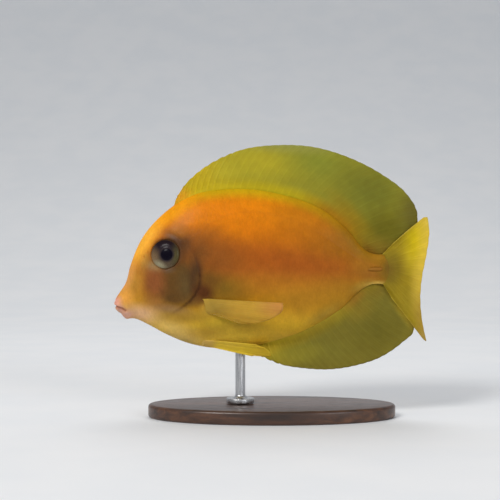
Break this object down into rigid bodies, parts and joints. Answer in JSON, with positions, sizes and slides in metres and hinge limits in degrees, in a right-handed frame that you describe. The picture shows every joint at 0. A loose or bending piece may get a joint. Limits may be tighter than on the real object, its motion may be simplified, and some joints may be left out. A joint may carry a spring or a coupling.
{
  "type": "surgeonfish model",
  "caption": "Life-size model of a young chocolate surgeonfish: deep thin disc body, long ridged dorsal and anal fins, short snout, held level by a rod on a flat oval base.",
  "frame": {"origin": "centre of the overall box, on the underside of the stand's base", "axes": "the fish's head points to -X and its tail to +X, its left flank faces -Y, its back faces +Z"},
  "size_m": [0.094, 0.038, 0.0815],
  "materials": {
    "skin": "satin painted skin, orange above and golden below",
    "cheek": "satin painted skin, brown",
    "fin": "satin painted fin, olive yellow",
    "tail": "satin painted fin, yellow",
    "paired_fin": "satin painted fin, pale gold",
    "eye": "wet gloss",
    "blade": "satin, bone coloured",
    "steel": "satin",
    "wood": "dark stained, satin"
  },
  "bodies": {
    "root": {"head": "skin", "lower_jaw": "skin", "gill_cover_left": "cheek", "gill_cover_right": "cheek", "torso": "skin", "tail_stalk": "skin", "eye_left": "eye", "eye_right": "eye", "dorsal_fin": "fin", "anal_fin": "fin", "tail_fin": "tail", "pectoral_fin_left": "paired_fin", "pectoral_fin_right": "paired_fin", "pelvic_fin_left": "paired_fin", "pelvic_fin_right": "paired_fin", "tail_blade_left": "blade", "tail_blade_right": "blade", "stand_rod": "steel", "stand_base": "wood"}
  },
  "joints": []
}
